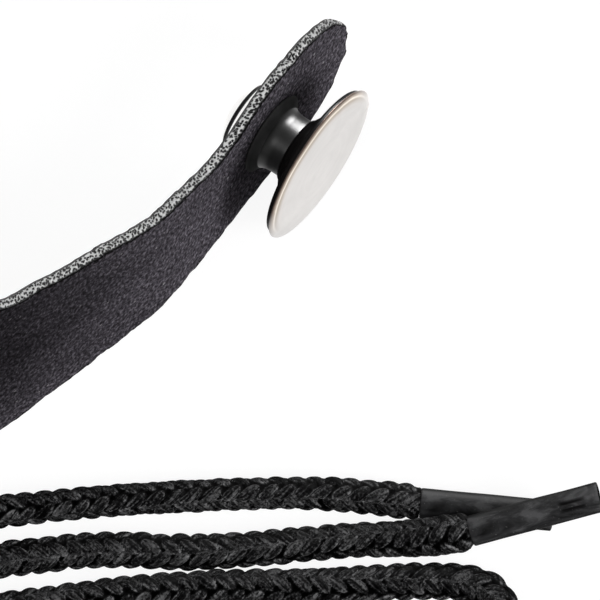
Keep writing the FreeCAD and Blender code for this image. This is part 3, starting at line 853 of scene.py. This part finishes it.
def stitching():
    """Each stitch is a short twisted thread whose ends dip into the leather or the lining."""
    count, radius, half_length, rings, around = 42, 0.33, 1.52, 13, 10
    vertices, faces, uv = [], [], []
    along = np.linspace(-1, 1, rings)
    angle = circle(around)
    reach = np.array([stitch_half_width, stitch_half_height])
    for index, turn in enumerate(circle(count)):
        for inside in (False, True):
            middle = reach * onward(turn) + [0, patch_height / 2]
            step = unit(reach * [-math.sin(turn), math.cos(turn)])
            wobble = 0.10 * (lattice(np.array([index, int(inside), 1]), 81) - 0.5)
            station, height = (middle + along[:, None] * half_length * step).T
            lift = radius * 0.75 - 0.62 * np.abs(along) ** 3.5
            depth = leather_thickness + 1.32 + lift if inside else -lift
            centre = skin(station, height, depth)
            tangent = unit(np.gradient(centre, axis=0))
            out = skin(station, height, depth - 1) - centre
            out = unit(out - tangent * (out * tangent).sum(1)[:, None])
            ply = 1 + 0.13 * np.cos(2 * angle - 5.2 * along[:, None] + index)
            taper = np.sqrt(np.clip(1 - along ** 8, 0.08, 1))[:, None]
            r = (radius + wobble * 0.3) * ply * taper
            mesh = centre[:, None] + spokes(out, np.cross(tangent, out), angle) * r[..., None]
            faces += tube_faces(rings, around, len(vertices) * (rings * around + 2))
            vertices.append(np.concatenate([mesh.reshape(-1, 3), centre[:1], centre[-1:]]))
            place = paired(along[:, None] * half_length + 4 * index, angle * radius)
            uv.append(with_ends(place.reshape(-1, 2)))
    piece("stitching", "lining_stitches", np.concatenate(vertices), faces, [finish_thread],
          "patch", np.concatenate(uv))


lining()
stitching()


# ---- tack buttons
button_segments = 144
face_radius = 9.9
rim_top, face_top = 7.3, 7.4
edge_width, edge_drop = 2.0, 0.35
shell_radius, shell_sheet = 9.5, 0.5
neck_radius, foot_radius, flange_radius, neck_top = 3.7, 5.1, 4.6, 5.4
back_cap_radius, back_cap_height, back_cap_sheet = 6.0, 3.9, 0.4
# Radius of the groove, whose band is painted black as a dark reflection
groove_and_dark_ring_radius = 4.55        # round the back cap


def smooth_profile(points, count):
    """Points of a soft curve through a profile's points."""
    points = np.array(points, float)
    run = run_along(points)
    at = np.linspace(0, run[-1], count)
    slopes = np.gradient(points, run, axis=0)
    index = np.clip(np.searchsorted(run, at, side="right") - 1, 0, len(run) - 2)
    span = (run[index + 1] - run[index])[:, None]
    t = (at - run[index])[:, None] / span
    return hermite(t, points[index], points[index + 1], span * slopes[index],
                   span * slopes[index + 1])


def arc_profile(middle, radius, start, end, count):
    angle = np.radians(np.linspace(start, end, count))
    return middle + radius * onward(angle)


def crown_profile(radius, rim, top, count):
    """Spherical cap from its rim to its middle, without the middle point."""
    height = top - rim
    sphere = (radius ** 2 + height ** 2) / (2 * height)
    r = radius * np.cos(np.linspace(0, math.pi / 2, count))[:-1]
    h = top - sphere + math.copysign(1, height) * np.sqrt(sphere ** 2 - r ** 2)
    return paired(r, h)


def turned(hand, name, node, body, profile, materials,
           second=lambda k, r: False):
    """A profile of (r, h) points turned about a button's axis.

    A profile that starts on the axis also ends there; any other closes on itself. Second says
    which of its bands, by their number and radius, have the second material.
    """
    on_axis = profile[0][0] == 0
    rings = profile[1:-1] if on_axis else profile
    angle = circle(button_segments)
    axis, side = np.array([*outward(arm_angle), 0]), np.array([*onward(arm_angle), 0])
    base = np.array([*wall(np.array(button_station))[:2], button_height])
    ring = spokes(side, np.array([0, 0, 1.0]), angle)
    vertices = (base + axis * rings[:, None, 1:] + ring * rings[:, None, :1]).reshape(-1, 3)
    kinds = [int(second(k, r)) for k, (r, h) in enumerate(rings[:-1])]
    index = np.repeat(kinds, button_segments).tolist()
    run = run_along(rings)
    uv = paired(angle, run[:, None]).reshape(-1, 2)
    if on_axis:
        vertices = np.concatenate([vertices, base + axis * profile[[0, -1], 1:]])
        faces = tube_faces(len(rings), button_segments)
        uv = np.concatenate([uv, [[0, run[0]], [0, run[-1]]]])
        index += [kinds[0], kinds[-1]] * button_segments
    else:
        faces = (ring_faces(len(rings) + 1, button_segments) % len(vertices))[:, ::-1].tolist()
        index += [0] * button_segments
    if hand == "left":
        vertices = vertices * [-1, 1, 1]
    else:
        faces = [face[::-1] for face in faces]
    piece(f"{hand}_button_{name}", f"{hand}_{node}", vertices, faces, materials, body, uv,
          index)


def face_profile():
    """A nearly flat cap that falls away at its edge, lying on the back shell's rim."""
    under = rim_top - edge_drop - 0.1
    arc = (edge_width ** 2 + edge_drop ** 2) / (2 * edge_drop)
    steep = math.degrees(math.asin(edge_width / arc))
    edge = arc_profile((face_radius - edge_width, rim_top - arc), arc, 90 - steep + 0.4, 90, 16)
    crown = crown_profile(face_radius - edge_width - 0.05, rim_top + 0.001, face_top, 44)
    return np.concatenate([[[0, under], [3.0, under], [6.5, under], [9.4, under],
                            [face_radius - 0.07, under], [face_radius - 0.02, under + 0.02],
                            [face_radius, under + 0.05]], edge, crown, [[0, face_top]]])


def shell_profile():
    """A trumpet of sheet from the neck out to the face's rim."""
    shares = np.array([(0, 0), (0.16, 0.24), (0.39, 0.57), (0.74, 0.88), (1, 1)])
    start, rise = np.array([3.77, 3.8]), np.array([shell_radius - 3.77, 2.5])
    outer = smooth_profile(start + shares * rise, 40)
    inner = smooth_profile(start + shares * rise + [0, shell_sheet], 40)[::-1]
    inner = inner[inner[:, 0] > 3.9]
    rim = arc_profile((shell_radius - 0.1, 6.70), 0.1, -20, 90, 6)
    lip = arc_profile((3.99, 4.04), 0.24, 175, 270, 7)
    return np.concatenate([lip, outer[outer[:, 0] > 4.1], rim, inner[inner[:, 0] < 9.34]])[::-1]


def neck_profile():
    """Foot, concave flank, waist and the flange that the head turns on; also the foot."""
    foot = arc_profile((foot_radius - 0.18, 0.22), 0.18, -40, 80, 8)
    flank = smooth_profile([(4.93, 0.42), (4.55, 0.62), (4.12, 0.98), (3.84, 1.45), (3.71, 2.0),
                            (3.68, 2.7), (3.69, 3.5), (neck_radius, 4.5)], 34)
    flange = [[neck_radius, 4.9], [flange_radius - 0.05, 4.92], [flange_radius, 4.97],
              [flange_radius, 5.35], [flange_radius - 0.05, neck_top], [3.0, neck_top],
              [0, neck_top]]
    return np.concatenate([[[0, 0], [1.2, 0.0], [4.9, 0.0]], foot, flank, flange]), foot


def back_cap_profile():
    """A dome over the tack's head, with a groove turned in it; also the dome."""
    base, top = -leather_thickness, -leather_thickness - back_cap_height
    dome = crown_profile(back_cap_radius - 0.1, base - 0.12, top, 70)[::-1]
    cut = 0.18 * np.exp(-((dome[:, 0] - groove_and_dark_ring_radius) / 0.30) ** 4)
    dome = dome + paired(-0.5 * cut, 0.85 * cut)
    lip = arc_profile((back_cap_radius - 0.16, base - 0.10), 0.16, -70, 60, 8)
    inside_top = top + back_cap_sheet
    inner = crown_profile(back_cap_radius - back_cap_sheet, base - 0.02, inside_top, 16)
    return np.concatenate([[[0, top]], dome, lip, inner, [[0, inside_top]]]), dome


def button(hand):
    head = hand + "_button_head"
    turned(hand, "face", "face_cap", head, face_profile(), [finish_face, finish_rim],
           lambda k, r: r >= face_radius - edge_width)
    turned(hand, "shell", "back_shell", head, shell_profile(), [finish_shell])
    neck, foot = neck_profile()
    turned(hand, "neck", "neck", "patch", neck, [finish_neck, finish_foot],
           lambda k, r: k < len(foot) + 10)
    cap, dome = back_cap_profile()
    # The groove's band takes the black shell paint: a painted dark reflection round the back cap
    turned(hand, "back_cap", "back_cap", "patch", cap, [finish_back_cap, finish_shell],
           lambda k, r: k < len(dome) - 1 and abs(r - groove_and_dark_ring_radius + 0.04) < 0.36)
    # The filler and the tack are hidden, and stay the CAD's own
    for node, finish in (("_head_filler", finish_filler), ("_tack", finish_tack)):
        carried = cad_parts[hand + node].data
        carried.materials.clear()
        carried.materials.append(finish)


button("right")
button("left")


# ---- floor and light
def seen_white(f):
    """1 for rays from the camera, mirrors and glass, which see the white studio."""
    path = f.node("LightPath").outputs
    larger = f.math("MAXIMUM", path["Is Camera Ray"], path["Is Glossy Ray"])
    return f.math("MAXIMUM", larger, path["Is Transmission Ray"])


def studio_floor(half, height):
    """White where it is seen, but for the object's shadow; plain grey as a light."""
    mesh = bpy.data.meshes.new("floor")
    corners = [(x * half, y * half, height) for x, y in ((-1, -1), (1, -1), (1, 1), (-1, 1))]
    mesh.from_pydata(corners, [], [(0, 1, 2, 3)])
    floor = bpy.data.objects.new("floor", mesh)
    scene.collection.objects.link(floor)
    f = Finish("studio_floor")
    plain = f.node("BsdfDiffuse", {"Color": (0.75, 0.75, 0.75)})
    shadow = f.node("BsdfDiffuse", {"Color": (0.18, 0.18, 0.18)})
    glow = f.node("Emission", {"Color": (1, 1, 1), "Strength": 0.90})
    seen = f.node("AddShader", {0: shadow.outputs[0], 1: glow.outputs[0]})
    mesh.materials.append(f.shown(f.node("MixShader", {
        0: seen_white(f), 1: plain.outputs[0], 2: seen.outputs[0]})))


def studio_world(dim):
    """White to the camera, mirrors and glass; dim as a light."""
    f = Finish("studio", bpy.data.worlds, "OutputWorld")
    strength = f.node("MapRange", {"Value": seen_white(f), "To Min": dim, "To Max": 1.0})
    scene.world = f.shown(f.node("Background", {"Color": (1, 1, 1),
                                                "Strength": strength.outputs[0]}))


def softbox(name, position, aim, size, power):
    lamp = bpy.data.lights.new(name, "AREA")
    lamp.shape, lamp.size, lamp.energy = "SQUARE", size, power
    return aimed(name, lamp, position, Vector(aim) - Vector(position))


studio_floor(1.6, -2e-5)
studio_world(0.30)
softbox("key", (-0.35, -0.45, 0.75), (0.03, 0, 0), 0.45, 2.4)
softbox("side", (0.69, -0.42, 0.49), (0.07, 0.02, 0.01), 0.4, 4.5)
# Seen only as a gleam on what is glossy; it adds no light to the colours
gleam = softbox("gleam", (0.355, 1.08, 0.65), (0.07, 0.02, 0.01), 0.8, 200)
gleam.visible_diffuse = False
